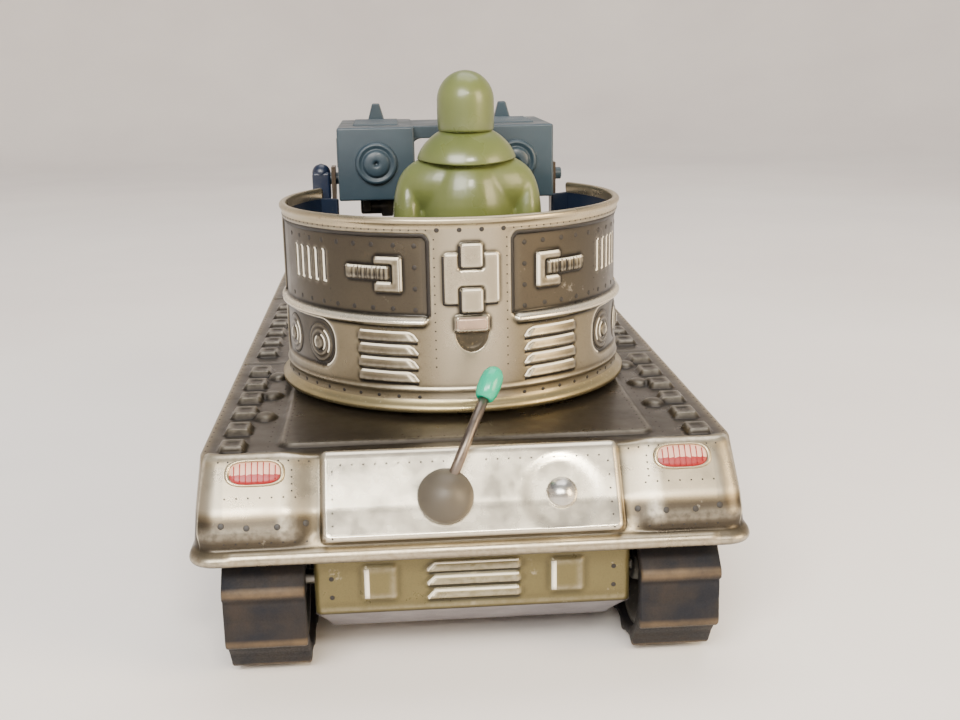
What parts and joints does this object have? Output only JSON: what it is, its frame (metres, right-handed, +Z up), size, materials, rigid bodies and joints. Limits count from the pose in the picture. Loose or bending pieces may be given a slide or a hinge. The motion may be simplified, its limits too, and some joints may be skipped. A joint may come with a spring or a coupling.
{
  "type": "tin toy tank",
  "caption": "Tin toy anti-aircraft tank with an open turning turret, elevating twin guns, a seated gunner, rubber tracks, a battery drive and a rear switch lever.",
  "frame": {"origin": "on the ground under the middle of the tank's bounding box", "axes": "+Y is the way the tank drives, +Z up, +X to its right"},
  "size_m": [0.108, 0.2404, 0.1171],
  "materials": {
    "hull_tin": "satin lithographed tin",
    "turret_tin": "satin lithographed tin",
    "chassis_tin": "satin lithographed tin",
    "pan_tin": "satin",
    "ring_tin": "satin",
    "navy_tin": "satin",
    "yoke_tin": "satin",
    "wheel_tin": "satin",
    "steel": "bright",
    "wire_steel": "dull",
    "zinc_plate": "dull zinc",
    "motor_steel": "bright",
    "contact_brass": "satin",
    "track_rubber": "worn",
    "gear_plastic": "satin",
    "dark_plastic": "satin",
    "battery_jacket": "gloss",
    "gun_plastic": "gloss",
    "handle_plastic": "gloss",
    "figure_plastic": "gloss",
    "tip_plastic": "gloss"
  },
  "bodies": {
    "hull": {"upper_hull_shell": "hull_tin", "lower_hull": "chassis_tin", "bottom_pan": "pan_tin", "door_hinge_pin": "steel", "track_left": "track_rubber", "track_right": "track_rubber", "gearbox_plate_outer": "zinc_plate", "gearbox_plate_inner": "zinc_plate", "gearbox_pillars": "steel", "motor_can": "motor_steel", "motor_saddle": "dark_plastic", "battery_1": "battery_jacket", "battery_2": "battery_jacket", "battery_contact_left": "contact_brass", "battery_contact_right": "contact_brass", "turret_ring": "ring_tin", "turret_pivot": "contact_brass", "contact_rivet": "steel"},
    "battery_door": {"battery_door": "pan_tin"},
    "rear_axle": {"rear_axle": "steel", "drive_wheel_left": "wheel_tin", "drive_wheel_right": "wheel_tin", "drive_gear": "gear_plastic"},
    "road_axle_rear": {"road_axle_rear": "steel", "road_wheel_rear_left": "wheel_tin", "road_wheel_rear_right": "wheel_tin"},
    "road_axle_front": {"road_axle_front": "steel", "road_wheel_front_left": "wheel_tin", "road_wheel_front_right": "wheel_tin"},
    "front_axle": {"front_axle": "steel", "front_wheel_left": "wheel_tin", "front_wheel_right": "wheel_tin"},
    "gear_first": {"reduction_gear_first": "gear_plastic", "reduction_shaft_first": "steel"},
    "gear_second": {"reduction_gear_second": "gear_plastic", "reduction_shaft_second": "steel"},
    "motor_rotor": {"motor_shaft": "steel", "motor_pinion": "contact_brass"},
    "turret": {"turret_shell": "turret_tin", "turret_floor": "navy_tin", "gun_yoke": "yoke_tin", "gunner_body": "figure_plastic", "gunner_head": "figure_plastic", "gunner_seat": "dark_plastic"},
    "guns": {"gun_cradle": "gun_plastic", "gun_barrel_left": "gun_plastic", "gun_barrel_right": "gun_plastic", "breech_cap_left": "gun_plastic", "breech_cap_right": "gun_plastic", "elevation_handle": "handle_plastic"},
    "switch_lever": {"switch_knob": "dark_plastic", "switch_wire": "wire_steel", "switch_tip": "tip_plastic"}
  },
  "joints": [
    {"name": "turret_turn", "type": "hinge", "parent": "hull", "child": "turret", "pos_m": [0, -0.0507, 0.0497], "axis": [0, 0, 1], "continuous": true},
    {"name": "gun_elevation", "type": "hinge", "parent": "turret", "child": "guns", "pos_m": [0, -0.024, 0.0906], "axis": [1, 0, 0], "range_deg": [-5, 60]},
    {"name": "battery_door_hinge", "type": "hinge", "parent": "hull", "child": "battery_door", "pos_m": [0, 0.032, 0.0046], "axis": [1, 0, 0], "range_deg": [0, 95]},
    {"name": "switch_lever_swing", "type": "hinge", "parent": "hull", "child": "switch_lever", "pos_m": [-0.0052, -0.11469, 0.0386], "axis": [0, -0.8044, 0.5941], "range_deg": [0, 48]},
    {"name": "rear_axle_spin", "type": "hinge", "parent": "hull", "child": "rear_axle", "pos_m": [0, -0.1, 0.0172], "axis": [1, 0, 0], "continuous": true},
    {"name": "road_axle_rear_spin", "type": "hinge", "parent": "hull", "child": "road_axle_rear", "pos_m": [0, -0.038, 0.0172], "axis": [1, 0, 0], "continuous": true},
    {"name": "road_axle_front_spin", "type": "hinge", "parent": "hull", "child": "road_axle_front", "pos_m": [0, 0.038, 0.0172], "axis": [1, 0, 0], "continuous": true},
    {"name": "front_axle_spin", "type": "hinge", "parent": "hull", "child": "front_axle", "pos_m": [0, 0.1, 0.0172], "axis": [1, 0, 0], "continuous": true},
    {"name": "gear_first_spin", "type": "hinge", "parent": "hull", "child": "gear_first", "pos_m": [0, -0.09325, 0.02524], "axis": [1, 0, 0], "continuous": true},
    {"name": "gear_second_spin", "type": "hinge", "parent": "hull", "child": "gear_second", "pos_m": [0, -0.08373, 0.02081], "axis": [1, 0, 0], "continuous": true},
    {"name": "motor_rotor_spin", "type": "hinge", "parent": "hull", "child": "motor_rotor", "pos_m": [0, -0.07327, 0.02172], "axis": [1, 0, 0], "continuous": true}
  ],
  "couplings": [
    {"joint": "road_axle_rear_spin", "follows": "rear_axle_spin", "ratio": 1},
    {"joint": "road_axle_front_spin", "follows": "rear_axle_spin", "ratio": 1},
    {"joint": "front_axle_spin", "follows": "rear_axle_spin", "ratio": 1},
    {"joint": "gear_first_spin", "follows": "rear_axle_spin", "ratio": -2},
    {"joint": "gear_second_spin", "follows": "rear_axle_spin", "ratio": 4},
    {"joint": "motor_rotor_spin", "follows": "rear_axle_spin", "ratio": -8}
  ]
}
